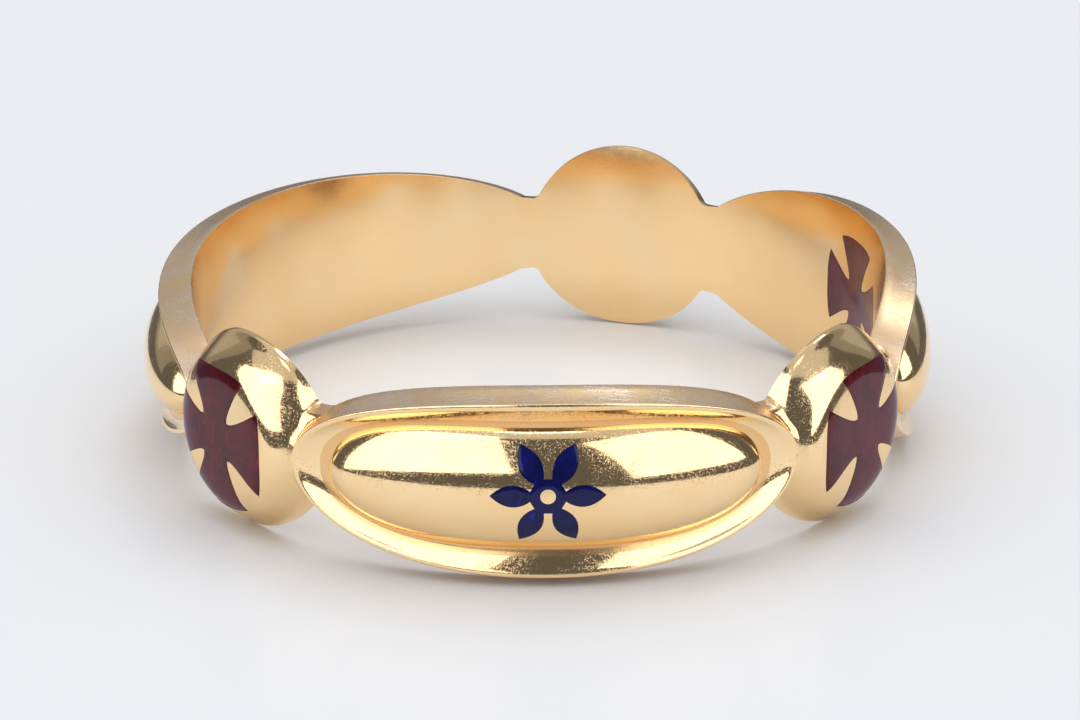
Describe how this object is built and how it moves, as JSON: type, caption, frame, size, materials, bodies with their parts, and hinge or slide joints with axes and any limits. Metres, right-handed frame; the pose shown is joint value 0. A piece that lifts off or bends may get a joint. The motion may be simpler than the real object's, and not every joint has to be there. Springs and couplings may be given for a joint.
{
  "type": "ring",
  "caption": "Gold finger ring of alternating oval plates and round domed discs, with red enamel crosses and blue enamel rosettes.",
  "frame": {"origin": "centre of the finger hole, at the ring's mid-plane", "axes": "+Z along the finger hole's axis, -Y towards the front oval"},
  "size_m": [0.0213, 0.0212, 0.0054],
  "materials": {
    "gold": "polished 18 carat gold",
    "red_enamel": "glossy translucent enamel",
    "blue_enamel": "glossy translucent enamel"
  },
  "bodies": {
    "root": {"ring_body": "gold", "front_oval_enamel": "blue_enamel", "right_oval_enamel": "blue_enamel", "left_oval_enamel": "blue_enamel", "left_disc_enamel": "red_enamel", "right_disc_enamel": "red_enamel", "back_disc_enamel": "red_enamel", "inner_enamel": "red_enamel"}
  },
  "joints": []
}
